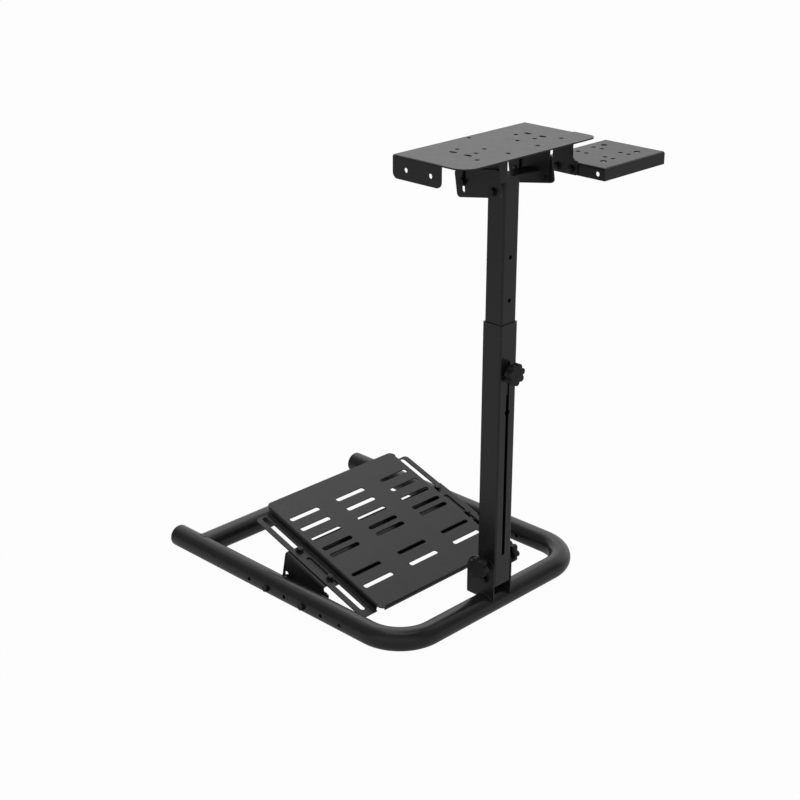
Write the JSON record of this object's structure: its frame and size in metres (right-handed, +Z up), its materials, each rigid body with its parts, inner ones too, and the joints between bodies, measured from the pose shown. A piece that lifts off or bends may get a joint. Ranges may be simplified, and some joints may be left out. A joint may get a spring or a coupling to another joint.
{
  "type": "racing wheel stand",
  "caption": "Folding floor stand with a tube base, sloping slotted pedal plate, telescopic post, tilting wheel plate and a side tray for a shifter.",
  "frame": {"origin": "centre of the bounding box on the floor", "axes": "+Z up, +X along the side rails toward the user, +Y across the stand toward the shifter side"},
  "size_m": [0.8156, 0.7136, 1.013],
  "materials": {
    "steel": "satin black powder coat on steel",
    "plastic": "fine grained black moulded plastic",
    "hardware": "black oxide bolts, nuts and spacers"
  },
  "bodies": {
    "base": {"u_frame": "steel", "rail_caps": "plastic", "cross_bar": "steel", "post_foot": "steel", "lean_pivot": "hardware", "pedal_bridge": "steel", "spacers": "hardware", "rail_bolts": "hardware"},
    "pedals": {"pedal_deck": "steel"},
    "post": {"lower_post": "steel", "lean_knobs": "plastic"},
    "mast": {"upper_post": "steel", "height_knob": "plastic", "head_ears": "steel", "head_web": "steel", "tilt_pivots": "hardware"},
    "head": {"tilt_bracket_near": "steel", "tilt_bracket_far": "steel", "tilt_bolts": "hardware", "wheel_plate": "steel", "shifter_arm": "steel", "shifter_tray": "steel"}
  },
  "joints": [
    {"name": "post_lean", "type": "hinge", "parent": "base", "child": "post", "pos_m": [0.3142, -0.0402, 0.085], "axis": [0, -1, 0], "range_deg": [0, 45]},
    {"name": "height_slide", "type": "slide", "parent": "post", "child": "mast", "axis": [0, 0, 1], "range_m": [-0.25, 0]},
    {"name": "wheel_tilt", "type": "hinge", "parent": "mast", "child": "head", "pos_m": [0.3562, -0.0402, 0.947], "axis": [0, -1, 0], "range_deg": [-12, 12]},
    {"name": "pedal_slide", "type": "slide", "parent": "base", "child": "pedals", "axis": [0.9494, 0, -0.314], "range_m": [0, 0.03]}
  ]
}
